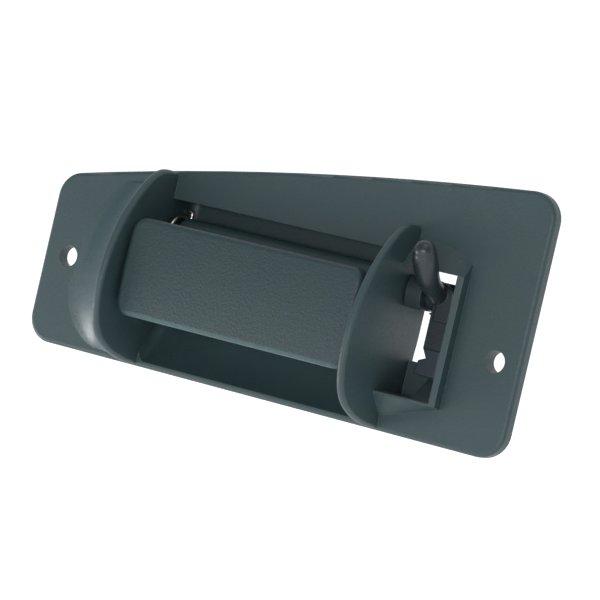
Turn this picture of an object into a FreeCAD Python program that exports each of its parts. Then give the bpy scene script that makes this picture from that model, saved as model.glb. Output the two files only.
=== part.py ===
"""Release handle of a pickup's rear access door: a plate with a pull bar between two guard fins.

Millimetres. X runs along the plate, -Y points out of the plate towards the hand, +Z is up.
The origin is midway between the two screw holes, on the plane that sits against the door.
"""

import math
import os

import FreeCAD
import Part

# Plate
PLATE_LEFT = -84.5
PLATE_RIGHT = 83.9
PLATE_BOTTOM = -27.6
TOP_EDGE_LEFT_Z = 24.6
TOP_EDGE_MIDDLE_Z = 40.7
TOP_EDGE_RIGHT_Z = 50.5
FRONT_Y = -4.2
SHEET = 2.4
SHEET_BACK_Y = FRONT_Y + SHEET
RIM_WALL = 2.0
CORNER_R = 8.0
FRONT_EDGE_R = 1.2

# Screw holes
SCREW_SPACING = 150.8
SCREW_HOLE_R = 3.25
SCREW_BOSS_R = 6.0
SCREW_BOSS_DEPTH = 2.2

# Ribs on the back of the plate
BACK_RIB = 1.5
BACK_RIB_Y = -0.3
LEFT_RIBS_X = (-66.0, -56.0)
LEFT_RIB_HEIGHT = 5.0
TOP_RIBS_X = (-24.0, -4.0, 16.0, 36.0)
TOP_RIBS_END_Z = 34.0
TOP_RIBS_SLOPE = 0.09
RIGHT_RIBS_Z = (-19.0, 26.0, 40.0)

# Overlap that ties two pieces of one solid together, and spare length on a cutting tool
JOIN = 0.5
SPARE = 1.0

# Guard fins
LEFT_FIN_OUTER = -44.9
LEFT_FIN_INNER = -42.3
RIGHT_FIN_INNER = 40.9
RIGHT_FIN_OUTER = 43.3
FIN_NOSE_R = 1.1
FIN_CURVE = (
    (SHEET_BACK_Y, 32.5),
    (-6.6, 32.8),
    (-12.2, 32.3),
    (-17.2, 29.4),
    (-21.6, 24.8),
    (-28.4, 14.0),
    (-32.0, 0.0),
    (-31.5, -10.8),
    (-28.0, -18.9),
    (-20.6, -24.0),
    (SHEET_BACK_Y, -27.2),
)

# Flare beside the left fin, a scoop that runs from the fin's nose down to the plate
FLARE_CENTRE_X = -47.0
FLARE_CENTRE_Z = -1.0
FLARE_R = 31.0
FLARE_SAG = 0.2
FLARE_WALL = 2.8
FLARE_LEVELS = (-25.5, -20.0, -12.0, -4.0, 4.0, 12.0, 20.0, 27.0)
FLARE_NOSE_DROP = 0.9
FLARE_HOLLOW_LEVELS = (-21.0, -13.0, -3.0, 8.0, 18.0, 24.0)
FLARE_RIBS = (-8.0, 8.0)
FLARE_RIB = 1.6
FLARE_FOOT_SPREAD = 2.2
FLARE_FOOT_DROP = 0.9
SCREW_SCOOP_X = -113.2
SCREW_SCOOP_Z = 3.9
SCREW_SCOOP_R = 41.9

# Finger cavity behind the bar
WALL = 2.2
CAVITY_TOP = 24.7
CAVITY_FLOOR_Y = 7.6
RAMP_TOP_Z = 2.0
RAMP_R = 38.6
RAMP_END_Z = -25.8
CAVITY_EDGE_R = 2.6
SHELL_EDGE_R = 1.4

# Raised surround and rear box of the hook's window
WINDOW_RIGHT = 60.3
WINDOW_BOTTOM = -16.1
WINDOW_TOP = 21.3
SURROUND_LEFT = RIGHT_FIN_INNER + 1.0
SURROUND_RIGHT = 62.4
SURROUND_FOOT = ((SURROUND_LEFT, -23.6), (61.9, -17.2), (61.9, 25.5), (SURROUND_LEFT, 29.5))
SURROUND_CREST = (53.5, 28.9)
RIM_Y_LEFT = -11.2
RIM_Y_RIGHT = -8.9
RIM_BELOW = (0.8, 0.6)
RIM_RISE = 0.1
WINDOW_SILL_Z = -6.0
WINDOW_BACK_Y = 8.3
LEDGE_LEFT = 51.0
LEDGE_TOP = -9.5
LEDGE_FRONT_Y = -3.0

# Pivot, shared by the handle and the hook
PIVOT_Y = 0.0
PIVOT_Z = 14.0
PIN_R = 1.6
PIN_RUN = 0.06
PIN_LEFT = -48.6
PIN_RIGHT = 62.4
PIN_HEAD_R = 2.9
PIN_HEAD = 1.5
PIN_CHAMFER = 0.4
GROOVE_IN = 1.2
GROOVE_DEPTH = 0.45

# Grip bar
GRIP_LEFT = -40.7
GRIP_RIGHT = 39.4
GRIP_BOTTOM = -12.4
GRIP_TOP = 17.3
GRIP_FRONT_Y = -26.2
GRIP_BACK_Y = -20.8
GRIP_CROWN = 0.9
GRIP_WALL = 2.0
GRIP_CORNER_R = 4.5
GRIP_EDGE_R = 1.8
BARREL_LEFT = -38.6
BARREL_RIGHT = 39.6
BARREL_R = 5.8
BARREL_EDGE_R = 1.6
TRUNNION_R = 4.4

# Lever behind the bar's cover: seat in the cover, web to the barrel, ribs and stop fingers
CARRIER_GAP = 0.05
COVER_FACE = 2.6
WEB_LEFT = BARREL_LEFT + 1.6
WEB_RIGHT = BARREL_RIGHT - 3.4
WEB_BOTTOM = 12.4
WEB_TOP = 15.0
WEB_BACK_Y = -3.0
CARRIER_RIBS_X = (-30.0, -15.0, 0.0, 15.0, 30.0)
CARRIER_RIB = 1.8
CARRIER_RIB_BOTTOM = -8.5
CARRIER_RIB_TOP = 13.0
CARRIER_RIB_KNEE = (-11.0, 8.2)
CARRIER_RIB_END = (WEB_BACK_Y, 9.6)
STOP_FINGER = 4.4
STOP_FINGER_FRONT_Y = 2.2
STOP_FINGER_BOTTOM = 0.6
STOP_GAP = 0.3

# Hook
HOOK_LEFT = 49.6
HOOK_RIGHT = 57.0
HOOK_X = 53.3
HOOK_HUB_R = 4.6
HORN_PATH = (
    (0.0, 13.4, 3.3),
    (-6.8, 15.6, 3.0),
    (-12.0, 18.2, 3.2),
    (-16.0, 22.0, 3.7),
    (-18.6, 26.0, 3.3),
)
ARM_LEFT = 52.3
ARM_RIGHT = 58.8
ARM_FRONT_Y = -4.4
ARM_BOTTOM = -1.0
ARM_WIDE_TOP = 8.0
ARM_BACK = ((0.6, PIVOT_Z), (-1.0, ARM_BOTTOM))
ARM_WIDE_BACK_Y = -0.2
HUB_EDGE_R = 0.6
SHOULDER_FRONT_Y = -5.0
SHOULDER_BACK_Y = -3.2
SHOULDER_EDGE_R = 0.5
SHOULDER_OUTLINE = ((53.3, 18.4), (54.6, 18.4), (57.5, 17.2), (58.5, 16.0), (58.8, 7.0), (53.3, 7.0))

# Barbed clip on the hook's arm, as (x, z) corners, and the eye for a rod
HOOK_CLIP_OUTLINE = (
    (58.2, ARM_BOTTOM),
    (52.2, ARM_BOTTOM),
    (53.8, -3.8),
    (51.6, -4.8),
    (51.0, -9.0),
    (58.2, -9.0),
)
HOOK_CLIP_FRONT_Y = -4.6
HOOK_CLIP_BACK_Y = -1.2
HOOK_CLIP_EDGE_R = 0.4
HOOK_ROD_R = 1.0
HOOK_ROD_Y = -2.9
HOOK_ROD_Z = -7.0

# Crank on the barrel's right end, and the latch rod's hole in its arm
CRANK_LEFT = 43.8
CRANK_RIGHT = 49.0
CRANK_ARM_LEFT = 45.5
CRANK_ARM_RIGHT = 48.3
CRANK_REACH = 7.0
CRANK_HALF_HEIGHT = 4.7
CRANK_ARM_END = (14.5, 10.5)
CRANK_ARM_HALF = 2.6
CRANK_ARM_ROOT_Y = 3.0
CRANK_ARM_ROOT = (2.8, 3.6)
CRANK_SOCKET = 2.4
ROD_HOLE_R = 1.6
ROD_SLEEVE_WALL = 0.6

# Clip in the crank's eye: collar, barb behind the arm, and a saddle with a groove for the rod
COLLAR = 0.9
COLLAR_EXTRA = 2.0
ROD_BARB = 1.4
ROD_BARB_EXTRA = (1.1, 0.6)
SADDLE = 2.3
SADDLE_HALF = 2.4
SADDLE_REACH = 7.0
SADDLE_GROOVE_Y = 4.6

# Bushes, washers and the pin's ring
LEFT_BUSH_R = 2.8
RIGHT_BUSH_R = 5.6
BUSH_FLANGE = 0.8
BUSH_FLANGE_EXTRA = 1.3
BUSH_ROOM = 0.1
WASHER_R = 3.9
WASHER = 0.5
WASHER_GAP = 0.05
WASHER_BORE_GAP = 0.1
CLIP_R = 3.6
CLIP = 0.7
CLIP_MOUTH = 2.0
CLIP_LOBE_R = 0.8
CLIP_LOBE_REACH = 1.9
CLIP_LOBES = (45, 135)

# Rubber stops on the cavity floor
BUMPER_X = (-24.0, 24.0)
BUMPER_Z = 5.6
BUMPER_R = 3.4
BUMPER_STEM_R = 1.7
BUMPER = 2.2
BUMPER_EDGE_R = 0.7
BUMPER_BARB = 1.6
BUMPER_BARB_EXTRA = (0.6, -0.5)

# Springs round the pin: coil's ends along X, wire, inner radius, and (y, z) of each leg's tip
RETURN_COIL = (-41.45, -38.95)
RETURN_WIRE = 1.2
RETURN_INNER_R = 5.4
RETURN_STILL_END = (6.0, 22.0)
RETURN_MOVING_END = (-13.0, 15.8)
RETURN_STILL_TIP = -43.6
RETURN_MOVING_TIP = -35.4
HOOK_COIL = (57.6, 60.2)
HOOK_WIRE = 0.6
HOOK_INNER_R = 2.1
HOOK_STILL_END = (5.4, 20.6)
HOOK_MOVING_END = (-2.7, 8.9)
HOOK_STILL_TIP = 61.7
HOOK_MOVING_TIP = 51.0
LEG_SHARE = 0.9
TIP_HOLE_GAP = 0.2


def vec(x, y, z):
    return FreeCAD.Vector(x, y, z)


def box(x0, x1, y0, y1, z0, z1):
    return Part.makeBox(x1 - x0, y1 - y0, z1 - z0, vec(x0, y0, z0))


def rod_x(x0, x1, y, z, radius):
    return Part.makeCylinder(radius, x1 - x0, vec(x0, y, z), vec(1, 0, 0))


def rod_y(x, z, y0, y1, radius):
    return Part.makeCylinder(radius, y1 - y0, vec(x, y0, z), vec(0, 1, 0))


def line(a, b):
    return Part.LineSegment(a, b).toShape()


def arc(a, via, b):
    return Part.Arc(a, via, b).toShape()


def prism(edges, direction):
    return Part.Face(Part.Wire(edges)).extrude(direction)


def polygon_x(points, x0, x1):
    """Prism along X over an outline of (y, z) points."""
    corners = [vec(x0, y, z) for y, z in points]
    return Part.Face(Part.makePolygon(corners + corners[:1])).extrude(vec(x1 - x0, 0, 0))


def polygon_y(points, y0, y1):
    """Prism along Y over an outline of (x, z) points."""
    corners = [vec(x, y0, z) for x, z in points]
    return Part.Face(Part.makePolygon(corners + corners[:1])).extrude(vec(0, y1 - y0, 0))


def edges_where(shape, test):
    """Edges whose every vertex passes the test."""
    return [e for e in shape.Edges if e.Vertexes and all(test(v.Point) for v in e.Vertexes)]


def upright_corners(shape, axis):
    """Straight edges that run along one axis (0 for X, 1 for Y, 2 for Z)."""
    found = []
    for edge in shape.Edges:
        if len(edge.Vertexes) == 2:
            run = edge.Vertexes[1].Point - edge.Vertexes[0].Point
            if abs(abs(run[axis]) - run.Length) < 1e-6 and abs(edge.Length - run.Length) < 1e-6:
                found.append(edge)
    return found


def plate_slab(inset, y0, y1):
    """Slab over the plate's outline, with its sides moved in by the inset."""
    left = PLATE_LEFT + inset
    right = PLATE_RIGHT - inset
    bottom = PLATE_BOTTOM + inset
    low_left = vec(left, y0, bottom)
    low_right = vec(right, y0, bottom)
    top_left = vec(left, y0, TOP_EDGE_LEFT_Z - inset)
    top_middle = vec(0, y0, TOP_EDGE_MIDDLE_Z - inset)
    top_right = vec(right, y0, TOP_EDGE_RIGHT_Z - inset)
    edges = [
        line(low_left, low_right),
        line(low_right, top_right),
        arc(top_right, top_middle, top_left),
        line(top_left, low_left),
    ]
    slab = prism(edges, vec(0, y1 - y0, 0))
    return slab.makeFillet(CORNER_R - inset, upright_corners(slab, 1))


def plate():
    slab = plate_slab(0, FRONT_Y, 0)
    front_edges = edges_where(slab, lambda p: abs(p.y - FRONT_Y) < 1e-6)
    slab = slab.makeFillet(FRONT_EDGE_R, front_edges)
    return slab.cut(plate_slab(RIM_WALL, SHEET_BACK_Y, 1))


def fin_outline(x):
    """Edges of the fin's side view: one smooth curve round the front, closed behind the plate's face."""
    curve = Part.BSplineCurve()
    curve.interpolate([vec(x, y, z) for y, z in FIN_CURVE])
    return [curve.toShape(), line(vec(x, *FIN_CURVE[-1]), vec(x, *FIN_CURVE[0]))]


def fin(x0, x1):
    solid = prism(fin_outline(x0), vec(x1 - x0, 0, 0))
    nose = [e for e in solid.Edges if e.CenterOfMass.y < FRONT_Y and e.Length > 2 * (x1 - x0)]
    return solid.makeFillet(FIN_NOSE_R, nose)


def fin_reach(z):
    """How far out of the plate the fin stands at one height."""
    slab = prism(fin_outline(0), vec(1, 0, 0)).common(box(0, 1, -60, FRONT_Y, z - 0.01, z + 0.01))
    return FRONT_Y - slab.BoundBox.YMin


def flare_foot_x(z):
    """Where the flare runs out on the plate at one height."""
    return FLARE_CENTRE_X - math.sqrt(FLARE_R ** 2 - (z - FLARE_CENTRE_Z) ** 2)


def flare_section(z, wall, back_y):
    """Wire across the flare at one height; a wall moves the scoop back for the hollow inside."""
    nose_y = FRONT_Y - fin_reach(z) + FLARE_NOSE_DROP + wall
    foot_x = flare_foot_x(z) + FLARE_FOOT_SPREAD * wall
    foot_y = FRONT_Y + FLARE_FOOT_DROP * wall
    fin_x = LEFT_FIN_OUTER + JOIN
    nose = vec(fin_x, nose_y, z)
    foot = vec(foot_x, foot_y, z)
    middle = (nose + foot) * 0.5
    corner = vec(fin_x, foot_y, z)
    sagged = middle + (corner - middle) * (2 * FLARE_SAG)
    back_fin = vec(fin_x, back_y, z)
    back_foot = vec(foot_x, back_y, z)
    return Part.Wire([
        arc(nose, sagged, foot),
        line(foot, back_foot),
        line(back_foot, back_fin),
        line(back_fin, nose),
    ])


def flare():
    solid = Part.makeLoft([flare_section(z, 0, SHEET_BACK_Y) for z in FLARE_LEVELS], True, False)
    scoop = rod_y(SCREW_SCOOP_X, SCREW_SCOOP_Z, -40, FRONT_Y, SCREW_SCOOP_R)
    return solid.cut(scoop)


def flare_hollow():
    """Space behind the flare, open to the back, with ribs left across it."""
    hollow = Part.makeLoft([flare_section(z, FLARE_WALL, SPARE) for z in FLARE_HOLLOW_LEVELS], True, False)
    hollow = hollow.cut(box(LEFT_FIN_OUTER, 0, -60, 20, -60, 60))
    for z in FLARE_RIBS:
        hollow = hollow.cut(box(PLATE_LEFT, 0, -60, 0, z - FLARE_RIB / 2, z + FLARE_RIB / 2))
    return hollow


def ramp_profile(grow, front_y):
    """Side profile of the cavity as edges at x = 0, grown outwards for the outer shell."""
    centre_y = CAVITY_FLOOR_Y - RAMP_R
    radius = RAMP_R + grow
    end_angle = math.asin((RAMP_TOP_Z - RAMP_END_Z) / RAMP_R)
    top = vec(0, centre_y + radius, RAMP_TOP_Z)
    half_angle = end_angle / 2
    middle = vec(0, centre_y + radius * math.cos(half_angle), RAMP_TOP_Z - radius * math.sin(half_angle))
    end = vec(0, centre_y + radius * math.cos(end_angle), RAMP_TOP_Z - radius * math.sin(end_angle))
    roof_z = CAVITY_TOP + grow
    return [
        arc(end, middle, top),
        line(top, vec(0, top.y, roof_z)),
        line(vec(0, top.y, roof_z), vec(0, front_y, roof_z)),
        line(vec(0, front_y, roof_z), vec(0, front_y, end.z)),
        line(vec(0, front_y, end.z), end),
    ]


def cavity_shell():
    shell = prism(ramp_profile(WALL, FRONT_Y + SPARE), vec(RIGHT_FIN_OUTER - LEFT_FIN_OUTER, 0, 0))
    shell.translate(vec(LEFT_FIN_OUTER, 0, 0))
    back_edges = edges_where(shell, lambda p: p.y > CAVITY_FLOOR_Y)
    shell = shell.makeFillet(SHELL_EDGE_R, back_edges)
    return shell.common(box(PLATE_LEFT, PLATE_RIGHT, FRONT_Y + JOIN, 40, PLATE_BOTTOM, 60))


def cavity_void():
    void = prism(ramp_profile(0, FRONT_Y - SPARE), vec(RIGHT_FIN_INNER - LEFT_FIN_INNER, 0, 0))
    void.translate(vec(LEFT_FIN_INNER, 0, 0))

    def on_floor(p):
        return p.y > FRONT_Y - 0.5 and p.z < CAVITY_TOP + 1

    side_edges = []
    for edge in edges_where(void, on_floor):
        across = abs(edge.Vertexes[0].Point.x - edge.Vertexes[-1].Point.x)
        if across < 1e-6 and edge.CenterOfMass.z < CAVITY_TOP - 1:
            side_edges.append(edge)
    return void.makeFillet(CAVITY_EDGE_R, side_edges)


def surround():
    """Raised frame on the plate beside the right fin, sloping down to the plate above and below."""
    rim = [
        (SURROUND_LEFT, RIM_Y_LEFT, WINDOW_BOTTOM - RIM_BELOW[0]),
        (SURROUND_RIGHT, RIM_Y_RIGHT, WINDOW_BOTTOM - RIM_BELOW[1]),
        (SURROUND_RIGHT, RIM_Y_RIGHT, WINDOW_TOP + RIM_RISE),
        (SURROUND_LEFT, RIM_Y_LEFT, WINDOW_TOP),
    ]

    def base_wire(y):
        points = [vec(x, y, z) for x, z in SURROUND_FOOT]
        crest = vec(SURROUND_CREST[0], y, SURROUND_CREST[1])
        return Part.Wire([
            line(points[0], points[1]),
            line(points[1], points[2]),
            arc(points[2], crest, points[3]),
            line(points[3], points[0]),
        ])

    rim_points = [vec(*p) for p in rim]
    rim_middle = (rim_points[2] + rim_points[3]) * 0.5 + vec(0, 0, RIM_RISE / 2)
    rim_wire = Part.Wire([
        line(rim_points[0], rim_points[1]),
        line(rim_points[1], rim_points[2]),
        arc(rim_points[2], rim_middle, rim_points[3]),
        line(rim_points[3], rim_points[0]),
    ])
    raised = Part.makeLoft([base_wire(FRONT_Y), rim_wire], True, True)
    foot = Part.Face(base_wire(FRONT_Y)).extrude(vec(0, SHEET / 2, 0))
    return raised.fuse(foot)


def window_box():
    return box(RIGHT_FIN_OUTER - 1, SURROUND_RIGHT, SHEET_BACK_Y - JOIN, WINDOW_BACK_Y,
               WINDOW_BOTTOM - WALL, WINDOW_TOP + WALL)


def window_void():
    upper = box(RIGHT_FIN_OUTER, WINDOW_RIGHT, -40, 40, WINDOW_SILL_Z, WINDOW_TOP)
    floor_y = WINDOW_BACK_Y - WALL
    lower = box(RIGHT_FIN_OUTER, WINDOW_RIGHT, -40, floor_y, WINDOW_BOTTOM, WINDOW_SILL_Z + SPARE)
    return upper.fuse(lower)


def window_ledge():
    """Sloping ledge in the bottom corner of the window box."""
    back_y = WINDOW_BACK_Y - WALL + JOIN
    bottom = WINDOW_BOTTOM - JOIN
    points = [(LEDGE_FRONT_Y, bottom), (back_y, bottom), (back_y, LEDGE_TOP)]
    return polygon_x(points, LEDGE_LEFT, WINDOW_RIGHT + JOIN)


def back_ribs():
    """Thin ribs on the back of the plate."""
    front_y = SHEET_BACK_Y - JOIN
    ribs = []
    for x in LEFT_RIBS_X:
        bottom = PLATE_BOTTOM + 1
        ribs.append(box(x, x + BACK_RIB, front_y, BACK_RIB_Y, bottom, bottom + LEFT_RIB_HEIGHT))
    for x in TOP_RIBS_X:
        top = TOP_RIBS_END_Z + TOP_RIBS_SLOPE * x
        ribs.append(box(x, x + BACK_RIB, front_y, BACK_RIB_Y, CAVITY_TOP + 1, top))
    for z in RIGHT_RIBS_Z:
        ribs.append(box(SURROUND_RIGHT - 1, PLATE_RIGHT - 1, front_y, BACK_RIB_Y, z, z + BACK_RIB))
    return ribs


def pivot_line_holes():
    """Holes in the housing for the bushes, the pin and the tips of the springs' still legs."""
    flange_r = RIGHT_BUSH_R + BUSH_FLANGE_EXTRA + BUSH_ROOM
    flange_left = RIGHT_FIN_INNER - BUSH_FLANGE - BUSH_ROOM
    return_r = RETURN_WIRE / 2 + TIP_HOLE_GAP
    hook_r = HOOK_WIRE / 2 + TIP_HOLE_GAP
    return [
        rod_x(LEFT_FIN_OUTER - 3, LEFT_FIN_INNER + SPARE, PIVOT_Y, PIVOT_Z, LEFT_BUSH_R),
        rod_x(RIGHT_FIN_INNER - SPARE, RIGHT_FIN_OUTER + 0.01, PIVOT_Y, PIVOT_Z, RIGHT_BUSH_R),
        rod_x(flange_left, RIGHT_FIN_INNER, PIVOT_Y, PIVOT_Z, flange_r),
        rod_x(WINDOW_RIGHT - SPARE, SURROUND_RIGHT + SPARE, PIVOT_Y, PIVOT_Z, PIN_R),
        rod_x(RETURN_STILL_TIP - TIP_HOLE_GAP, LEFT_FIN_INNER + SPARE, *RETURN_STILL_END, return_r),
        rod_x(WINDOW_RIGHT - SPARE, HOOK_STILL_TIP + TIP_HOLE_GAP, *HOOK_STILL_END, hook_r),
    ]


def bezel_housing():
    body = plate()
    pieces = [
        fin(LEFT_FIN_OUTER, LEFT_FIN_INNER),
        fin(RIGHT_FIN_INNER, RIGHT_FIN_OUTER),
        flare(),
        cavity_shell(),
        surround(),
        window_box(),
        rod_y(-SCREW_SPACING / 2, 0, SHEET_BACK_Y - JOIN, 0, SCREW_BOSS_R),
        rod_y(SCREW_SPACING / 2, 0, SHEET_BACK_Y - JOIN, SCREW_BOSS_DEPTH, SCREW_BOSS_R),
    ]
    body = body.multiFuse(pieces + back_ribs())
    body = body.cut(cavity_void())
    body = body.cut(window_void())
    body = body.fuse(window_ledge())
    body = body.cut(flare_hollow())
    for side in (-1, 1):
        body = body.cut(rod_y(side * SCREW_SPACING / 2, 0, -40, 40, SCREW_HOLE_R))
    for hole in pivot_line_holes():
        body = body.cut(hole)
    stem_end_y = CAVITY_FLOOR_Y + 2 * WALL
    for x in BUMPER_X:
        body = body.cut(rod_y(x, BUMPER_Z, CAVITY_FLOOR_Y - SPARE, stem_end_y, BUMPER_STEM_R))
    return body.removeSplitter()


def bush(x0, x1, flange_x, outer_r, inner_r):
    """Flanged bush in a wall from x0 to x1; flange_x is the side its flange stands on."""
    body = rod_x(x0, x1, PIVOT_Y, PIVOT_Z, outer_r)
    if flange_x == x1:
        flange = rod_x(x1, x1 + BUSH_FLANGE, PIVOT_Y, PIVOT_Z, outer_r + BUSH_FLANGE_EXTRA)
    else:
        flange = rod_x(x0 - BUSH_FLANGE, x0, PIVOT_Y, PIVOT_Z, outer_r + BUSH_FLANGE_EXTRA)
    bore = rod_x(x0 - 2 * BUSH_FLANGE, x1 + 2 * BUSH_FLANGE, PIVOT_Y, PIVOT_Z, inner_r)
    return body.fuse(flange).cut(bore).removeSplitter()


def left_bush():
    return bush(LEFT_FIN_OUTER, LEFT_FIN_INNER, LEFT_FIN_INNER, LEFT_BUSH_R, PIN_R)


def right_bush():
    return bush(RIGHT_FIN_INNER, RIGHT_FIN_OUTER, RIGHT_FIN_INNER, RIGHT_BUSH_R, TRUNNION_R + PIN_RUN)


def pivot_pin():
    shaft = rod_x(PIN_LEFT, PIN_RIGHT, PIVOT_Y, PIVOT_Z, PIN_R)
    left_end = [e for e in shaft.Edges if abs(e.CenterOfMass.x - PIN_LEFT) < 1e-6]
    shaft = shaft.makeChamfer(PIN_CHAMFER, left_end)
    head = rod_x(PIN_RIGHT, PIN_RIGHT + PIN_HEAD, PIVOT_Y, PIVOT_Z, PIN_HEAD_R)
    flat = box(PIN_RIGHT - 1, PIN_RIGHT + 2 * PIN_HEAD, -2 * PIN_HEAD_R, SHEET_BACK_Y + 0.1, 0, 2 * PIVOT_Z)
    groove_x = PIN_LEFT + GROOVE_IN
    groove = rod_x(groove_x, groove_x + CLIP, PIVOT_Y, PIVOT_Z, 2 * PIN_R)
    groove = groove.cut(rod_x(PIN_LEFT, groove_x + 2 * CLIP, PIVOT_Y, PIVOT_Z, PIN_R - GROOVE_DEPTH))
    return shaft.fuse(head.cut(flat)).cut(groove).removeSplitter()


def pin_clip():
    """Spring-steel E-shaped ring in the groove at the pin's left end."""
    x0 = PIN_LEFT + GROOVE_IN
    low = x0 - SPARE
    high = x0 + CLIP + SPARE
    ring = rod_x(x0, x0 + CLIP, PIVOT_Y, PIVOT_Z, CLIP_R)
    ring = ring.cut(rod_x(low, high, PIVOT_Y, PIVOT_Z, PIN_R - GROOVE_DEPTH))
    mouth = box(low, high, -CLIP_MOUTH / 2, CLIP_MOUTH / 2, -2 * CLIP_R, 0)
    mouth.translate(vec(0, PIVOT_Y, PIVOT_Z))
    ring = ring.cut(mouth)
    for angle in CLIP_LOBES:
        y = PIVOT_Y + CLIP_LOBE_REACH * math.cos(math.radians(angle))
        z = PIVOT_Z + CLIP_LOBE_REACH * math.sin(math.radians(angle))
        ring = ring.cut(rod_x(low, high, y, z, CLIP_LOBE_R))
    return ring.removeSplitter()


def washer(x0):
    ring = rod_x(x0, x0 + WASHER, PIVOT_Y, PIVOT_Z, WASHER_R)
    return ring.cut(rod_x(x0 - SPARE, x0 + 2 * SPARE, PIVOT_Y, PIVOT_Z, PIN_R + WASHER_BORE_GAP))


def bumpers():
    pads = []
    for x in BUMPER_X:
        pad = rod_y(x, BUMPER_Z, CAVITY_FLOOR_Y - BUMPER, CAVITY_FLOOR_Y, BUMPER_R)
        face = [e for e in pad.Edges if abs(e.CenterOfMass.y - (CAVITY_FLOOR_Y - BUMPER)) < 1e-6]
        pad = pad.makeFillet(BUMPER_EDGE_R, face)
        neck_y = CAVITY_FLOOR_Y + WALL
        stem = rod_y(x, BUMPER_Z, CAVITY_FLOOR_Y, neck_y + JOIN, BUMPER_STEM_R)
        wide_r = BUMPER_STEM_R + BUMPER_BARB_EXTRA[0]
        thin_r = BUMPER_STEM_R + BUMPER_BARB_EXTRA[1]
        barb = Part.makeCone(wide_r, thin_r, BUMPER_BARB, vec(x, neck_y, BUMPER_Z), vec(0, 1, 0))
        pads.append(pad.fuse(stem).fuse(barb).removeSplitter())
    return pads


def coil_sleeve(x0, x1, inner_r, outer_r):
    return rod_x(x0, x1, PIVOT_Y, PIVOT_Z, outer_r).cut(rod_x(x0 - 1, x1 + 1, PIVOT_Y, PIVOT_Z, inner_r))


def spring_leg(x, end, coil_r, side, radius):
    """Straight leg that leaves the coil's circle at a tangent and runs to the end point."""
    away = vec(0, end[0] - PIVOT_Y, end[1] - PIVOT_Z)
    angle = math.atan2(away.z, away.y) + side * math.acos(coil_r / away.Length)
    start = vec(x, PIVOT_Y + coil_r * math.cos(angle), PIVOT_Z + coil_r * math.sin(angle))
    run = vec(x, *end) - start
    return Part.makeCylinder(radius, run.Length, start, run)


def torsion_spring(coil, wire, inner_r, still, moving):
    """Torsion spring round the pin, as a sleeve with two legs whose tips turn along the pin.

    A leg is its x, its end point (y, z), the side it leaves the coil on, and the x its tip runs to.
    """
    coil_r = inner_r + wire / 2
    leg_r = LEG_SHARE * wire / 2
    pieces = []
    for x, end, side, tip_x in (still, moving):
        pieces.append(spring_leg(x, end, coil_r, side, leg_r))
        beyond = x - math.copysign(wire / 2, tip_x - x)
        pieces.append(rod_x(min(beyond, tip_x), max(beyond, tip_x), *end, wire / 2))
    sleeve = coil_sleeve(coil[0], coil[1], inner_r, inner_r + wire)
    return sleeve.multiFuse(pieces).removeSplitter()


def return_spring():
    half = RETURN_WIRE / 2
    still = (RETURN_COIL[0] + half, RETURN_STILL_END, -1, RETURN_STILL_TIP)
    moving = (RETURN_COIL[1] - half, RETURN_MOVING_END, 1, RETURN_MOVING_TIP)
    return torsion_spring(RETURN_COIL, RETURN_WIRE, RETURN_INNER_R, still, moving)


def hook_spring():
    half = HOOK_WIRE / 2
    still = (HOOK_COIL[1] - half, HOOK_STILL_END, 1, HOOK_STILL_TIP)
    moving = (HOOK_COIL[0] + half, HOOK_MOVING_END, -1, HOOK_MOVING_TIP)
    return torsion_spring(HOOK_COIL, HOOK_WIRE, HOOK_INNER_R, still, moving)


def grip_block(inset, y0, y1):
    """Block over the bar's outline with rounded corners, its sides moved in by the inset."""
    block = box(GRIP_LEFT + inset, GRIP_RIGHT - inset, y0, y1, GRIP_BOTTOM + inset, GRIP_TOP - inset)
    return block.makeFillet(GRIP_CORNER_R - inset, upright_corners(block, 1))


def grip_cover():
    """Front shell of the bar: a shallow tray, crowned across its height, open at the back."""
    tray = grip_block(0, GRIP_FRONT_Y, GRIP_BACK_Y)
    half_height = (GRIP_TOP - GRIP_BOTTOM) / 2
    crown_r = (half_height ** 2 + GRIP_CROWN ** 2) / (2 * GRIP_CROWN)
    crown_z = (GRIP_TOP + GRIP_BOTTOM) / 2
    tray = tray.common(rod_x(GRIP_LEFT - 1, GRIP_RIGHT + 1, GRIP_FRONT_Y + crown_r, crown_z, crown_r))
    front = [e for e in tray.Edges if e.CenterOfMass.y < GRIP_FRONT_Y + 2 * GRIP_CROWN]
    tray = tray.makeFillet(GRIP_EDGE_R, front)
    pocket = grip_block(GRIP_WALL, GRIP_FRONT_Y + COVER_FACE, GRIP_BACK_Y + SPARE)
    return tray.cut(pocket)


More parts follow.
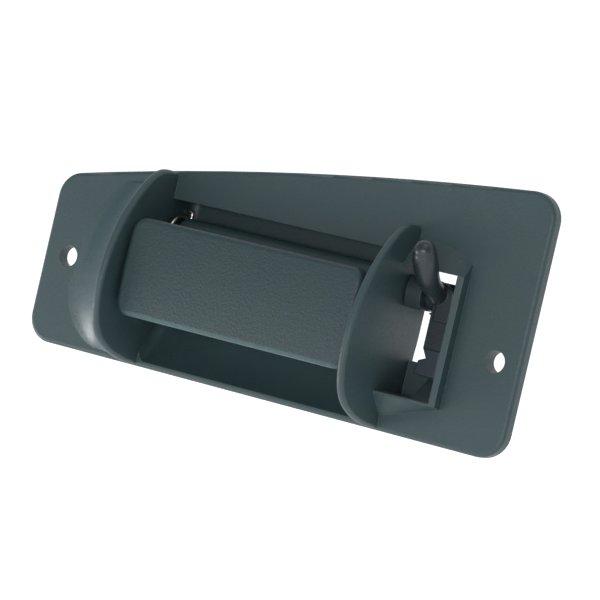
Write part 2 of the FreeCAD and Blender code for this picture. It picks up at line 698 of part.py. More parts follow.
def handle_carrier():
    """Lever behind the cover: backing plate, web, barrel round the pin, ribs and stop fingers."""
    backing = grip_block(GRIP_WALL + CARRIER_GAP, GRIP_FRONT_Y + COVER_FACE + CARRIER_GAP, GRIP_BACK_Y)
    root_y = GRIP_BACK_Y - JOIN
    web = box(WEB_LEFT, WEB_RIGHT, root_y, WEB_BACK_Y, WEB_BOTTOM, WEB_TOP)
    barrel = rod_x(BARREL_LEFT, BARREL_RIGHT, PIVOT_Y, PIVOT_Z, BARREL_R)
    left_end = [e for e in barrel.Edges if abs(e.CenterOfMass.x - BARREL_LEFT) < 1e-6]
    barrel = barrel.makeFillet(BARREL_EDGE_R, left_end)
    trunnion = rod_x(BARREL_RIGHT - SPARE, CRANK_LEFT + CRANK_SOCKET, PIVOT_Y, PIVOT_Z, TRUNNION_R)
    solid = backing.multiFuse([web, barrel, trunnion])
    profile = [
        (root_y, CARRIER_RIB_BOTTOM),
        (GRIP_BACK_Y + 3 * JOIN, CARRIER_RIB_BOTTOM),
        CARRIER_RIB_KNEE,
        CARRIER_RIB_END,
        (WEB_BACK_Y, CARRIER_RIB_TOP),
        (root_y, CARRIER_RIB_TOP),
    ]
    ribs = [polygon_x(profile, x - CARRIER_RIB / 2, x + CARRIER_RIB / 2) for x in CARRIER_RIBS_X]
    finger_back_y = CAVITY_FLOOR_Y - BUMPER - STOP_GAP
    for x in BUMPER_X:
        left = x - STOP_FINGER / 2
        right = x + STOP_FINGER / 2
        ribs.append(box(left, right, STOP_FINGER_FRONT_Y, finger_back_y, STOP_FINGER_BOTTOM, PIVOT_Z - 1))
    solid = solid.multiFuse(ribs)
    bore = rod_x(-60, 60, PIVOT_Y, PIVOT_Z, PIN_R + PIN_RUN)
    return solid.cut(bore).removeSplitter()


def latch_crank():
    """Crank on the barrel's right end; its rear arm works the latch rod."""
    reach = 2 * CRANK_REACH
    hub = box(CRANK_LEFT, CRANK_RIGHT, -reach, reach, -CRANK_HALF_HEIGHT, CRANK_HALF_HEIGHT)
    hub.translate(vec(0, PIVOT_Y, PIVOT_Z))
    hub = hub.common(rod_x(CRANK_LEFT, CRANK_RIGHT, PIVOT_Y, PIVOT_Z, CRANK_REACH))
    end_y, end_z = CRANK_ARM_END
    x0 = CRANK_ARM_LEFT
    x1 = CRANK_ARM_RIGHT
    arm = polygon_x([
        (CRANK_ARM_ROOT_Y, PIVOT_Z + CRANK_ARM_ROOT[0]),
        (CRANK_ARM_ROOT_Y, PIVOT_Z - CRANK_ARM_ROOT[1]),
        (end_y, end_z - CRANK_ARM_HALF),
        (end_y, end_z + CRANK_ARM_HALF),
    ], x0, x1)
    eye = rod_x(x0, x1, end_y, end_z, CRANK_ARM_HALF)
    solid = hub.multiFuse([arm, eye])
    socket = rod_x(CRANK_LEFT - SPARE, CRANK_LEFT + CRANK_SOCKET, PIVOT_Y, PIVOT_Z, TRUNNION_R)
    bore = rod_x(CRANK_LEFT - SPARE, CRANK_RIGHT + SPARE, PIVOT_Y, PIVOT_Z, PIN_R + PIN_RUN)
    rod_hole = rod_x(CRANK_LEFT - SPARE, CRANK_RIGHT + SPARE, end_y, end_z, ROD_HOLE_R + ROD_SLEEVE_WALL)
    return solid.cut(socket).cut(bore).cut(rod_hole).removeSplitter()


def latch_rod_clip():
    """Nylon clip in the crank's eye that a latch rod snaps into."""
    end_y, end_z = CRANK_ARM_END
    x0 = CRANK_ARM_LEFT
    x1 = CRANK_ARM_RIGHT
    saddle_x = x1 + COLLAR
    saddle_end = saddle_x + SADDLE
    sleeve = rod_x(x0 - ROD_BARB, saddle_end, end_y, end_z, ROD_HOLE_R + ROD_SLEEVE_WALL)
    collar = rod_x(x1, saddle_x, end_y, end_z, ROD_HOLE_R + COLLAR_EXTRA)
    wide_r = ROD_HOLE_R + ROD_BARB_EXTRA[0]
    thin_r = ROD_HOLE_R + ROD_BARB_EXTRA[1]
    barb = Part.makeCone(wide_r, thin_r, ROD_BARB, vec(x0, end_y, end_z), vec(-1, 0, 0))
    saddle = box(saddle_x, saddle_end, end_y - SADDLE_HALF, end_y + SADDLE_REACH,
                 end_z - SADDLE_HALF, end_z + SADDLE_HALF)
    groove_foot = vec(saddle_end - 0.6, end_y + SADDLE_GROOVE_Y, end_z - 2 * SADDLE_HALF)
    groove = Part.makeCylinder(ROD_HOLE_R, 4 * SADDLE_HALF, groove_foot, vec(0, 0, 1))
    solid = sleeve.multiFuse([collar, barb, saddle]).cut(groove)
    return solid.cut(rod_x(x0 - 9, x1 + 9, end_y, end_z, ROD_HOLE_R)).removeSplitter()


def horn():
    """Round tapering horn that leaves the hub forwards and turns up to a ball end."""
    wires = []
    for index, (y, z, radius) in enumerate(HORN_PATH):
        before = HORN_PATH[max(index - 1, 0)]
        after = HORN_PATH[min(index + 1, len(HORN_PATH) - 1)]
        along = vec(0, after[0] - before[0], after[1] - before[1])
        circle = Part.Circle(vec(HOOK_X, y, z), along, radius)
        wires.append(Part.Wire(circle.toShape()))
    body = Part.makeLoft(wires, True, False)
    tip_y, tip_z, tip_r = HORN_PATH[-1]
    return body.fuse(Part.makeSphere(tip_r, vec(HOOK_X, tip_y, tip_z)))


def release_hook():
    """Hook lever: hub on the pin, horn through the window, a shoulder beside it and a lower arm."""
    hub = rod_x(HOOK_LEFT, HOOK_RIGHT, PIVOT_Y, PIVOT_Z, HOOK_HUB_R)
    hub = hub.makeFillet(HUB_EDGE_R, [e for e in hub.Edges if abs(e.CenterOfMass.x - HOOK_RIGHT) < 1e-6])
    foot = [ARM_BACK[1], (ARM_FRONT_Y, ARM_BOTTOM)]
    arm = polygon_x([(ARM_FRONT_Y, PIVOT_Z), ARM_BACK[0]] + foot, ARM_LEFT, HOOK_RIGHT)
    shelf = [(ARM_FRONT_Y, ARM_WIDE_TOP), (ARM_WIDE_BACK_Y, ARM_WIDE_TOP)]
    wide = polygon_x(shelf + foot, HOOK_RIGHT - JOIN, ARM_RIGHT)
    shoulder = polygon_y(list(SHOULDER_OUTLINE), SHOULDER_FRONT_Y, SHOULDER_BACK_Y)
    front = [e for e in shoulder.Edges if abs(e.CenterOfMass.y - SHOULDER_FRONT_Y) < 1e-6]
    shoulder = shoulder.makeFillet(SHOULDER_EDGE_R, front)
    solid = hub.multiFuse([arm, wide, shoulder, horn()])
    bore = rod_x(HOOK_LEFT - 10, HOOK_RIGHT + 10, PIVOT_Y, PIVOT_Z, PIN_R + PIN_RUN)
    tip_hole = rod_x(HOOK_LEFT, SURROUND_RIGHT, *HOOK_MOVING_END, HOOK_WIRE / 2 + TIP_HOLE_GAP)
    washer_room = rod_x(HOOK_RIGHT, HOOK_RIGHT + 2 * WASHER, PIVOT_Y, PIVOT_Z, WASHER_R + 0.2)
    return solid.cut(bore).cut(tip_hole).cut(washer_room).removeSplitter()


def hook_rod_clip():
    """Barbed nylon clip on the end of the hook's lower arm, with an eye for a rod's bent end."""
    tab = polygon_y(list(HOOK_CLIP_OUTLINE), HOOK_CLIP_FRONT_Y, HOOK_CLIP_BACK_Y)
    front = [e for e in tab.Edges if abs(e.CenterOfMass.y - HOOK_CLIP_FRONT_Y) < 1e-6]
    tab = tab.makeFillet(HOOK_CLIP_EDGE_R, front)
    hole = rod_x(RIGHT_FIN_OUTER, SURROUND_RIGHT, HOOK_ROD_Y, HOOK_ROD_Z, HOOK_ROD_R)
    return tab.cut(hole).removeSplitter()


NODES = {
    "bezel_housing": bezel_housing,
    "left_bush": left_bush,
    "right_bush": right_bush,
    "pivot_pin": pivot_pin,
    "pin_clip": pin_clip,
    "return_spring": return_spring,
    "stop_bumpers": bumpers,
    "hook_spring": hook_spring,
    "hook_washer_left": lambda: washer(CRANK_RIGHT + WASHER_GAP),
    "hook_washer_right": lambda: washer(HOOK_RIGHT + WASHER_GAP),
    "grip_cover": grip_cover,
    "handle_carrier": handle_carrier,
    "latch_crank": latch_crank,
    "latch_rod_clip": latch_rod_clip,
    "release_hook": release_hook,
    "hook_rod_clip": hook_rod_clip,
}


def main():
    os.makedirs("parts", exist_ok=True)
    for name, make in NODES.items():
        made = make()
        shape = Part.makeCompound(made) if isinstance(made, list) else made
        shape.exportStep("parts/" + name + ".step")
        print(name, "solids", len(shape.Solids), "volume", round(shape.Volume, 1), "valid", shape.isValid())


main()
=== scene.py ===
"""Looks of a pickup's rear-door release handle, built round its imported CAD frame.

Metres throughout. X runs along the plate, -Y points out of the plate, +Z is up.
"""

import math

import bpy
from mathutils import Matrix, Vector


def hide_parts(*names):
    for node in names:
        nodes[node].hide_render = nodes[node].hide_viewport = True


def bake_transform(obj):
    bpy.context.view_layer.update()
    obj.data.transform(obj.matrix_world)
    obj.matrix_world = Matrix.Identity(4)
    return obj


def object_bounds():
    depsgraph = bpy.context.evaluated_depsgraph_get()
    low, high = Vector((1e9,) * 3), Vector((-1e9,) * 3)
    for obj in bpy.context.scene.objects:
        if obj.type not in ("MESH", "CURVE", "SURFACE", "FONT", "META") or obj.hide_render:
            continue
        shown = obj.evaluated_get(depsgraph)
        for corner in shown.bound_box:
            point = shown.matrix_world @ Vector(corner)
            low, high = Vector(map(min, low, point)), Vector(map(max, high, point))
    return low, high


MM = 0.001

# Camera
CAMERA_PLACE = Vector((0.43503, -0.74308, 0.02442))
CAMERA_AZIMUTH = math.radians(29.978)
CAMERA_ELEVATION = math.radians(1.382)
CAMERA_ROLL = math.radians(12.995)
CAMERA_LENS = 173.48
CAMERA_SENSOR = 36.0
CAMERA_REACH = (0.05, 50.0)

# Studio: strength of the room in front and of the backdrop behind, and the span of Y they fade over
ROOM_STRENGTH = 0.42
BACKDROP_STRENGTH = 1.12
BACKDROP_FADE = (-0.2, 0.25)
STUDIO_TINT = (0.97, 1.0, 1.03, 1.0)

# Soft lights: place, what each points at, size and power
LIGHTS = {
    "key": ((0.32, -1.25, 0.0), (0, 0, 0), (0.8, 0.3), 5.8),
    "low_left": ((-0.62, -0.24, -0.28), (-0.05, 0, 0), (0.5, 0.2), 2.8),
    "high_front": ((0.15, -0.50, 0.85), (0.02, 0, 0), (0.6, 0.4), 1.6),
}

# Glowing pale floor, far enough below the part that no shadow of it shows
FLOOR_DROP = 0.32
FLOOR_GLOW = 0.45
FLOOR_HALF = 6.0
FLOOR_COLOURS = ((0.965, 0.96, 0.95), (0.95, 0.945, 0.935))
FLOOR_CLOUD = 80 * MM

# Pivot pin, shared by the handle and the hook
PIVOT = Vector((0.0, 0.0, 14.0)) * MM

# Springs round the pin: ends of the coil along X, wire, mean radius, turns, and each leg's tip
RETURN_SPRING = {
    "coil": (-41.45, -38.95), "wire": 1.0, "mean_r": 6.0, "turns": 1, "wound": -1,
    "still": {"end": (6.0, 22.0), "tip_x": -43.6}, "moving": {"end": (-13.0, 15.8), "tip_x": -35.4},
}
HOOK_SPRING = {
    "coil": (60.2, 57.6), "wire": 0.6, "mean_r": 2.4, "turns": 3, "wound": 1,
    "still": {"end": (5.4, 20.6), "tip_x": 61.7}, "moving": {"end": (-2.7, 8.9), "tip_x": 51.0},
}
COIL_STEPS = 32
TIP_BEND = 0.9
BEND_STEPS = 8
LEG_SHARES = (0.25, 0.5, 0.75)
WIRE_SIDES = 14
WIRE_DOME = 0.5

# Moulded plastic: sizes of its clouds, of the rubbed and highlight-painted edge patches and of the dust,
# how round its edges look, and its gloss
MOTTLE = 14 * MM
GLOSS_CLOUD = 9 * MM
EDGE_PALING_CLOUD = 2.5 * MM
DUST_GAP = 5.5 * MM
DUST_COLOUR = (0.25, 0.28, 0.28, 1.0)
DUST_SHARE = 0.22
# Painted shade in the grain's pits: how much of it shows and how dark it goes
PIT_SHARE = 0.5
PIT_PAINTED_SHADE = 0.80
EDGE_R = 0.35 * MM
PLASTIC_IOR = 1.46
POLISH_FADE = 0.4 * MM
POLISH_TINT = (0.9, 0.97, 1.08)
POLISH_GRAIN = 0.25
POLISH_GLOSS = -0.16
# Painted highlight along the grip's lower lip: its fade, its cloud, how much paler and how much glossier
LIP_FADE = (0.3 * MM, -0.5 * MM)
LIP_CLOUD = 6 * MM
LIP_HIGHLIGHT_PALER = 2.4
LIP_GLOSS = -0.14

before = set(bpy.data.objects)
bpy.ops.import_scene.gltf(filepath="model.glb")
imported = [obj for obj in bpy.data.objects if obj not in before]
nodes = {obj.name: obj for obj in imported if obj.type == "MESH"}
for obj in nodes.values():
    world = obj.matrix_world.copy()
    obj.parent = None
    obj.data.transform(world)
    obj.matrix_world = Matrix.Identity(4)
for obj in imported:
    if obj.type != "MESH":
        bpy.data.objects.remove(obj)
cad_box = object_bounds()


class Paint:
    """One procedural material. Textures are laid in the row frame, so a size is in metres."""

    def __init__(self, name):
        self.material = bpy.data.materials.new(name)
        self.material.use_nodes = True
        self.tree = self.material.node_tree
        self.shader = self.tree.nodes["Principled BSDF"]
        self.place = self.tree.nodes.new("ShaderNodeTexCoord").outputs["Object"]

    def add(self, kind, **inputs):
        node = self.tree.nodes.new(kind)
        for name, value in inputs.items():
            self.feed(node.inputs[name.replace("_", " ")], value)
        return node

    def feed(self, socket, value):
        if isinstance(value, bpy.types.NodeSocket):
            self.tree.links.new(value, socket)
        else:
            socket.default_value = value

    def noise(self, size, detail=2.0, roughness=0.5, distortion=0.0, place=None):
        """Cloudy noise whose blobs are about that size."""
        node = self.add("ShaderNodeTexNoise", Vector=place or self.place, Scale=1 / size,
                        Detail=detail, Roughness=roughness, Distortion=distortion)
        return node.outputs["Fac"]

    def cells(self, size, place=None, smooth=0.0):
        """Distance to the nearest of many scattered points that far apart."""
        node = self.tree.nodes.new("ShaderNodeTexVoronoi")
        if smooth:
            node.feature = "SMOOTH_F1"
            node.inputs["Smoothness"].default_value = smooth
        self.feed(node.inputs["Vector"], place or self.place)
        node.inputs["Scale"].default_value = 1 / size
        return node.outputs["Distance"]

    def stretched(self, x, y, z):
        """The row frame's coordinates, stretched along each axis."""
        node = self.tree.nodes.new("ShaderNodeMapping")
        node.inputs["Scale"].default_value = (1 / x, 1 / y, 1 / z)
        self.feed(node.inputs["Vector"], self.place)
        return node.outputs["Vector"]

    def remap(self, value, low, high, new_low=0.0, new_high=1.0):
        node = self.add("ShaderNodeMapRange", Value=value)
        for index, limit in enumerate((low, high, new_low, new_high), start=1):
            node.inputs[index].default_value = limit
        return node.outputs["Result"]

    def sum(self, a, b, weight=1.0):
        node = self.tree.nodes.new("ShaderNodeMath")
        node.operation = "MULTIPLY_ADD"
        self.feed(node.inputs[0], b)
        node.inputs[1].default_value = weight
        self.feed(node.inputs[2], a)
        return node.outputs["Value"]

    def blend(self, share, a, b):
        """Colour that goes from a to b as the share goes from 0 to 1."""
        node = self.tree.nodes.new("ShaderNodeMix")
        node.data_type = "RGBA"
        self.feed(node.inputs[0], share)
        self.feed(node.inputs[6], a)
        self.feed(node.inputs[7], b)
        return node.outputs[2]

    def edges(self, radius):
        """Rounded normal at sharp edges, and how strongly each point is an edge."""
        bevel = self.tree.nodes.new("ShaderNodeBevel")
        bevel.samples = 6
        bevel.inputs["Radius"].default_value = radius
        flat = self.tree.nodes.new("ShaderNodeNewGeometry")
        dot = self.tree.nodes.new("ShaderNodeVectorMath")
        dot.operation = "DOT_PRODUCT"
        self.feed(dot.inputs[0], bevel.outputs["Normal"])
        self.feed(dot.inputs[1], flat.outputs["Normal"])
        return bevel.outputs["Normal"], self.remap(dot.outputs["Value"], 0.995, 0.86)

    def product(self, a, b):
        node = self.tree.nodes.new("ShaderNodeMath")
        node.operation = "MULTIPLY"
        self.feed(node.inputs[0], a)
        self.feed(node.inputs[1], b)
        return node.outputs["Value"]

    def along(self, axis):
        node = self.add("ShaderNodeSeparateXYZ", Vector=self.place)
        return node.outputs[axis]

    def bump(self, height, depth, strength, normal=None):
        node = self.add("ShaderNodeBump", Height=height, Distance=depth, Strength=strength)
        if normal is not None:
            self.feed(node.inputs["Normal"], normal)
        self.feed(self.shader.inputs["Normal"], node.outputs["Normal"])


def rgb(red, green, blue):
    return (red, green, blue, 1.0)


def scaled(colour, factor, lift=0.0):
    """Colour times a factor, or times one factor for each channel, and lifted a little."""
    factors = factor if isinstance(factor, tuple) else (factor,) * 3
    return rgb(*(min(1.0, c * f + lift) for c, f in zip(colour, factors)))


def moulded(name, colour, tint, grain, depth, strength, roughness, edge_wear_and_highlight,
            polished=None, lip_highlight_z=None):
    """Moulded plastic: mottled colour, pebbled grain with painted shade in its pits, uneven gloss, edges
    painted paler for rubbed wear and a painted highlight, and specks of dust.

    Polished is an x and a y; the grain fades out and the gloss rises beyond both.
    The lip height is a z; the lip below it is painted paler as a highlight, and made glossier.
    """
    paint = Paint(name)
    mottle = paint.remap(paint.noise(MOTTLE, 3.0, 0.6), 0.35, 0.65)
    body = paint.blend(mottle, rgb(*colour), rgb(*tint))
    fine = paint.noise(0.9 * grain, 3.0, 0.6)
    pebble = paint.cells(grain, smooth=0.35)
    relief = paint.sum(fine, pebble, 0.9)
    pits = paint.remap(pebble, 0.15, 0.75)
    # Painted shade: the grain's pits are darkened
    shade = paint.remap(relief, 0.45, 1.25, 0.0, PIT_SHARE)
    body = paint.blend(shade, body, scaled(colour, PIT_PAINTED_SHADE))
    normal, edge = paint.edges(EDGE_R)
    # Edges painted paler: partly rubbed wear, partly a painted highlight along them
    rubbed_and_highlit = paint.sum(edge, paint.noise(EDGE_PALING_CLOUD, 3.0, 0.7), 0.9)
    rubbed_and_highlit = paint.remap(rubbed_and_highlit, 0.95, 1.6, 0.0, edge_wear_and_highlight)
    body = paint.blend(rubbed_and_highlit, body, scaled(colour, 1.9, 0.012))
    specks = paint.remap(paint.cells(DUST_GAP), 0.04, 0.03, 0.0, DUST_SHARE)
    body = paint.blend(specks, body, DUST_COLOUR)
    gloss = paint.sum(pits, paint.noise(GLOSS_CLOUD, 4.0, 0.65), 0.8)
    gloss = paint.remap(gloss, 0.2, 1.4, roughness - 0.07, roughness + 0.09)
    if polished is not None:
        left = paint.remap(paint.along("X"), polished[0] + POLISH_FADE, polished[0])
        raised = paint.remap(paint.along("Y"), polished[1] + POLISH_FADE, polished[1])
        smooth = paint.product(left, raised)
        body = paint.blend(smooth, body, scaled(colour, POLISH_TINT))
        gloss = paint.sum(gloss, smooth, POLISH_GLOSS)
        relief = paint.product(relief, paint.remap(smooth, 0.0, 1.0, 1.0, POLISH_GRAIN))
    if lip_highlight_z is not None:
        # Painted highlight: a pale, glossier band along the lip below that height
        lip_highlight = paint.remap(paint.along("Z"), lip_highlight_z + LIP_FADE[0], lip_highlight_z + LIP_FADE[1])
        lip_highlight = paint.product(lip_highlight, paint.remap(paint.noise(LIP_CLOUD, 3.0, 0.6), 0.2, 0.8, 0.35, 0.8))
        body = paint.blend(lip_highlight, body, scaled(colour, LIP_HIGHLIGHT_PALER))
        gloss = paint.sum(gloss, lip_highlight, LIP_GLOSS)
    paint.feed(paint.shader.inputs["Base Color"], body)
    paint.feed(paint.shader.inputs["Roughness"], gloss)
    paint.shader.inputs["IOR"].default_value = PLASTIC_IOR
    paint.bump(relief, depth, strength, normal)
    return paint.material


def metal(name, colour, stain, roughness, brushed):
    """Plated or drawn metal: fine drawing lines, patchy plating and dull spots."""
    paint = Paint(name)
    lines = paint.noise(0.5 * MM, 4.0, 0.7, place=paint.stretched(*brushed))
    patches = paint.remap(paint.noise(1.8 * MM, 4.0, 0.7), 0.42, 0.7)
    body = paint.blend(patches, rgb(*colour), rgb(*stain))
    paint.feed(paint.shader.inputs["Base Color"], body)
    paint.shader.inputs["Metallic"].default_value = 1.0
    gloss = paint.remap(paint.sum(lines, patches, 0.5), 0.2, 1.1, roughness - 0.08, roughness + 0.16)
    paint.feed(paint.shader.inputs["Roughness"], gloss)
    normal, _ = paint.edges(0.15 * MM)
    paint.bump(lines, 0.01 * MM, 0.35, normal)
    return paint.material


def rubber(name, colour):
    """Moulded rubber: dull, faintly dusty, with a fine grain."""
    paint = Paint(name)
    dust = paint.remap(paint.noise(2.2 * MM, 4.0, 0.7), 0.4, 0.75, 0.0, 0.5)
    body = paint.blend(dust, rgb(*colour), scaled(colour, 2.2, 0.01))
    paint.feed(paint.shader.inputs["Base Color"], body)
    grain = paint.noise(0.35 * MM, 3.0, 0.6)
    paint.feed(paint.shader.inputs["Roughness"], paint.remap(grain, 0.3, 0.7, 0.72, 0.88))
    normal, _ = paint.edges(0.3 * MM)
    paint.bump(grain, 0.04 * MM, 0.5, normal)
    return paint.material


# Colour, its second tint, grain size, depth and strength of the relief, roughness, and how far edges are
# painted paler for edge wear and for highlight
MOULDED = {
    "plate": ("plate_plastic", (0.026, 0.051, 0.053), (0.023, 0.047, 0.055),
              0.55 * MM, 0.07 * MM, 0.45, 0.46, 0.5),
    "grip": ("grip_plastic", (0.014, 0.034, 0.036), (0.012, 0.032, 0.038),
             0.7 * MM, 0.12 * MM, 0.7, 0.48, 0.5),
    "carrier": ("carrier_plastic", (0.019, 0.041, 0.042), (0.017, 0.039, 0.045),
                0.7 * MM, 0.10 * MM, 0.5, 0.42, 0.5),
    "crank": ("crank_plastic", (0.020, 0.030, 0.034), (0.018, 0.029, 0.035),
              0.6 * MM, 0.03 * MM, 0.2, 0.42, 0.4),
    # Painted shade: the hook's colour is kept dark and bluish to stand for the shade of the window recess
    "hook": ("hook_plastic", (0.014, 0.021, 0.025), (0.013, 0.020, 0.026),
             0.5 * MM, 0.02 * MM, 0.12, 0.30, 0.4),
    "bush": ("bush_nylon", (0.045, 0.055, 0.056), (0.040, 0.053, 0.056),
             0.5 * MM, 0.02 * MM, 0.15, 0.38, 0.4),
    # Painted shade: the rod clip's colour is kept dark and bluish to stand for the shade of the window
    # recess
    "clip": ("clip_nylon", (0.015, 0.025, 0.034), (0.013, 0.024, 0.036),
             0.5 * MM, 0.02 * MM, 0.15, 0.36, 0.4),
    "rod_clip": ("rod_clip_nylon", (0.62, 0.60, 0.52), (0.58, 0.56, 0.47),
                 0.5 * MM, 0.02 * MM, 0.15, 0.40, 0.2),
}

# The flare left of the left fin is polished, and the bar's lower lip gets a painted highlight
SPECIAL = {
    "plate": {"polished": (-45.2 * MM, -4.9 * MM)},
    "grip": {"lip_highlight_z": -11.0 * MM},
}

# Colour, stain, roughness, and how far the drawing lines are stretched along X, Y and Z
METALS = {
    "plated": ("plated_steel", (0.62, 0.58, 0.32), (0.44, 0.46, 0.30), 0.30, (8.0, 1.0, 1.0)),
    "spring": ("spring_steel", (0.58, 0.58, 0.55), (0.36, 0.36, 0.33), 0.28, (1.0, 1.0, 1.0)),
    "zinc_wire": ("zinc_wire", (0.62, 0.60, 0.30), (0.50, 0.52, 0.28), 0.26, (1.0, 1.0, 1.0)),
}

MATERIALS = {look: moulded(*recipe, **SPECIAL.get(look, {})) for look, recipe in MOULDED.items()}
MATERIALS.update({look: metal(*recipe) for look, recipe in METALS.items()})
MATERIALS["rubber"] = rubber("stop_rubber", (0.018, 0.019, 0.020))

NODE_LOOKS = {
    "bezel_housing": "plate",
    "left_bush": "bush",
    "right_bush": "bush",
    "pivot_pin": "plated",
    "pin_clip": "spring",
    "stop_bumpers": "rubber",
    "hook_washer_left": "bush",
    "hook_washer_right": "bush",
    "grip_cover": "grip",
    "handle_carrier": "carrier",
    "latch_crank": "crank",
    "latch_rod_clip": "rod_clip",
    "release_hook": "hook",
    "hook_rod_clip": "clip",
}

for node_name, look in NODE_LOOKS.items():
    mesh = nodes[node_name].data
    mesh.materials.clear()
    mesh.materials.append(MATERIALS[look])


def tube(name, path, radius):
    """Round wire along a path, with domed ends."""
    count = len(path)
    sides = WIRE_SIDES
    tangents = []
    for index in range(count):
        tangents.append((path[min(index + 1, count - 1)] - path[max(index - 1, 0)]).normalized())
    across = tangents[0].orthogonal().normalized()
    vertices = []
    for index, point in enumerate(path):
        across = (across - tangents[index] * across.dot(tangents[index])).normalized()
        other = tangents[index].cross(across)
        for step in range(sides):
            angle = 2 * math.pi * step / sides
            vertices.append(point + radius * (math.cos(angle) * across + math.sin(angle) * other))
    faces = []
    for ring in range(count - 1):
        for step in range(sides):
            a = ring * sides + step
            b = ring * sides + (step + 1) % sides
            faces.append((a, b, b + sides, a + sides))
    for ring, tangent in ((0, -tangents[0]), (count - 1, tangents[-1])):
        centre = len(vertices)
        vertices.append(path[ring] + WIRE_DOME * radius * tangent)
        for step in range(sides):
            a = ring * sides + step
            b = ring * sides + (step + 1) % sides
            faces.append((b, a, centre) if ring == 0 else (a, b, centre))
    mesh = bpy.data.meshes.new(name)
    mesh.from_pydata([tuple(v) for v in vertices], [], faces)
    mesh.update()
    for polygon in mesh.polygons:
        polygon.use_smooth = True
    piece = bpy.data.objects.new(name, mesh)
    bpy.context.scene.collection.objects.link(piece)
    return piece


def on_coil(spring, x, angle):
    mean_r = spring["mean_r"]
    return Vector((x, PIVOT.y / MM + mean_r * math.cos(angle), PIVOT.z / MM + mean_r * math.sin(angle)))


def leave_angle(spring, end, side):
    """Angle on the coil where a straight leg to the end point leaves it."""
    away_y = end[0] - PIVOT.y / MM
    away_z = end[1] - PIVOT.z / MM
    return math.atan2(away_z, away_y) + side * math.acos(spring["mean_r"] / math.hypot(away_y, away_z))


def leg_path(start, end, tip_x):
    """Points from the coil out along a leg and round a bend to its tip."""
    corner = Vector((start.x, *end))
    back = (start - corner).normalized()
    side = Vector((math.copysign(1, tip_x - start.x), 0, 0))
    path = [start.lerp(corner + back * TIP_BEND, share) for share in LEG_SHARES]
    for step in range(BEND_STEPS):
        angle = math.pi / 2 * step / (BEND_STEPS - 1)
        short = TIP_BEND * (1 - math.sin(angle))
        along = TIP_BEND * (1 - math.cos(angle))
        path.append(corner + back * short + side * along)
    path.append(Vector((tip_x, *end)))
    return path


def wire_path(spring, still_x, moving_x):
    """Wire from the still tip round the coil to the moving tip, in millimetres."""
    wound = spring["wound"]
    first = leave_angle(spring, spring["still"]["end"], wound)
    last = leave_angle(spring, spring["moving"]["end"], -wound)
    part_turn = (wound * (last - first) / (2 * math.pi)) % 1.0
    sweep = wound * 2 * math.pi * (spring["turns"] + part_turn)
    steps = int(COIL_STEPS * abs(sweep) / (2 * math.pi))
    coil = []
    for step in range(steps + 1):
        share = step / steps
        coil.append(on_coil(spring, still_x + (moving_x - still_x) * share, first + sweep * share))
    still = leg_path(coil[0], spring["still"]["end"], spring["still"]["tip_x"])
    moving = leg_path(coil[-1], spring["moving"]["end"], spring["moving"]["tip_x"])
    return still[::-1] + coil + moving


def wind_spring(name, spring, node, material):
    """Helical torsion spring that winds up between two bodies, in place of the CAD sleeve."""
    half = math.copysign(spring["wire"] / 2, spring["coil"][1] - spring["coil"][0])
    still_x = spring["coil"][0] + half
    moving_x = spring["coil"][1] - half
    path = [point * MM for point in wire_path(spring, still_x, moving_x)]
    piece = tube(name, path, spring["wire"] / 2 * MM)
    piece.data.materials.append(MATERIALS[material])
    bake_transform(piece)
    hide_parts(node)


wind_spring("return_spring_wire", RETURN_SPRING, "return_spring", "spring")
wind_spring("hook_spring_wire", HOOK_SPRING, "hook_spring", "zinc_wire")


def stage_floor(z):
    """Plain pale floor, far wider than the view."""
    half = FLOOR_HALF
    mesh = bpy.data.meshes.new("floor")
    corners = [(-half, -half, z), (half, -half, z), (half, half, z), (-half, half, z)]
    mesh.from_pydata(corners, [], [(0, 1, 2, 3)])
    floor = bpy.data.objects.new("floor", mesh)
    bpy.context.scene.collection.objects.link(floor)
    paint = Paint("floor_paper")
    pale = paint.blend(paint.noise(FLOOR_CLOUD, 2.0, 0.5), rgb(*FLOOR_COLOURS[0]), rgb(*FLOOR_COLOURS[1]))
    paint.feed(paint.shader.inputs["Base Color"], pale)
    paint.shader.inputs["Roughness"].default_value = 0.9
    paint.shader.inputs["Emission Color"].default_value = (1.0, 1.0, 1.0, 1.0)
    paint.shader.inputs["Emission Strength"].default_value = FLOOR_GLOW
    mesh.materials.append(paint.material)


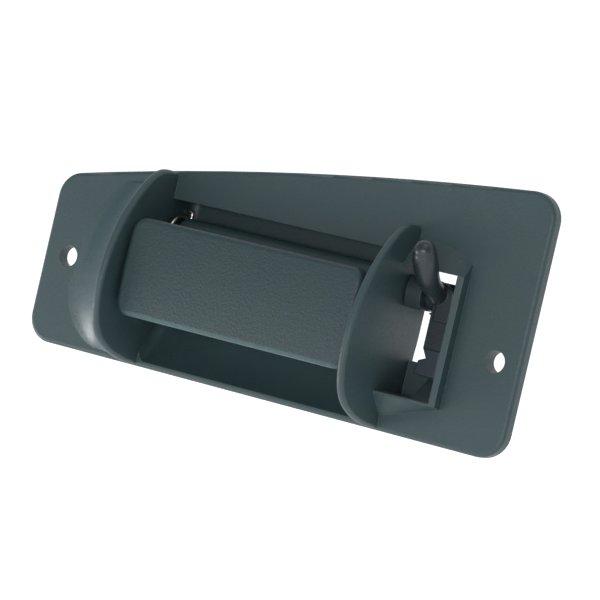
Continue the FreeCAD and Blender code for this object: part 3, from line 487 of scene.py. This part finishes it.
def area_light(name, place, target, size, power):
    light = bpy.data.lights.new(name, "AREA")
    light.shape = "RECTANGLE"
    light.size, light.size_y = size
    light.energy = power
    holder = bpy.data.objects.new(name, light)
    holder.location = place
    holder.rotation_mode = "QUATERNION"
    holder.rotation_quaternion = (Vector(target) - Vector(place)).to_track_quat("-Z", "Y")
    holder.visible_camera = False
    bpy.context.scene.collection.objects.link(holder)


def studio():
    """White backdrop behind the part, and a dimmer room in front of it."""
    world = bpy.data.worlds.new("studio")
    world.use_nodes = True
    tree = world.node_tree
    direction = tree.nodes.new("ShaderNodeTexCoord")
    split = tree.nodes.new("ShaderNodeSeparateXYZ")
    fade = tree.nodes.new("ShaderNodeMapRange")
    tree.links.new(direction.outputs["Generated"], split.inputs["Vector"])
    tree.links.new(split.outputs["Y"], fade.inputs["Value"])
    limits = (*BACKDROP_FADE, ROOM_STRENGTH, BACKDROP_STRENGTH)
    for index, limit in enumerate(limits, start=1):
        fade.inputs[index].default_value = limit
    background = tree.nodes["Background"]
    background.inputs["Color"].default_value = STUDIO_TINT
    tree.links.new(fade.outputs["Result"], background.inputs["Strength"])
    bpy.context.scene.world = world


def camera():
    data = bpy.data.cameras.new("camera")
    data.sensor_width = CAMERA_SENSOR
    data.lens = CAMERA_LENS
    data.clip_start, data.clip_end = CAMERA_REACH
    holder = bpy.data.objects.new("camera", data)
    back = Vector((math.sin(CAMERA_AZIMUTH) * math.cos(CAMERA_ELEVATION),
                   -math.cos(CAMERA_AZIMUTH) * math.cos(CAMERA_ELEVATION), math.sin(CAMERA_ELEVATION)))
    right = (-back).cross(Vector((0, 0, 1))).normalized()
    up = right.cross(-back)
    turned_right = math.cos(CAMERA_ROLL) * right + math.sin(CAMERA_ROLL) * up
    turned_up = -math.sin(CAMERA_ROLL) * right + math.cos(CAMERA_ROLL) * up
    turn = Matrix((turned_right, turned_up, back)).transposed().to_4x4()
    holder.matrix_world = Matrix.Translation(CAMERA_PLACE) @ turn
    bpy.context.scene.collection.objects.link(holder)
    bpy.context.scene.camera = holder


stage_floor(cad_box[0].z - FLOOR_DROP)
studio()
for light_name, (place, target, size, power) in LIGHTS.items():
    area_light(light_name, place, target, size, power)
camera()
bpy.context.scene.view_settings.view_transform = "Standard"
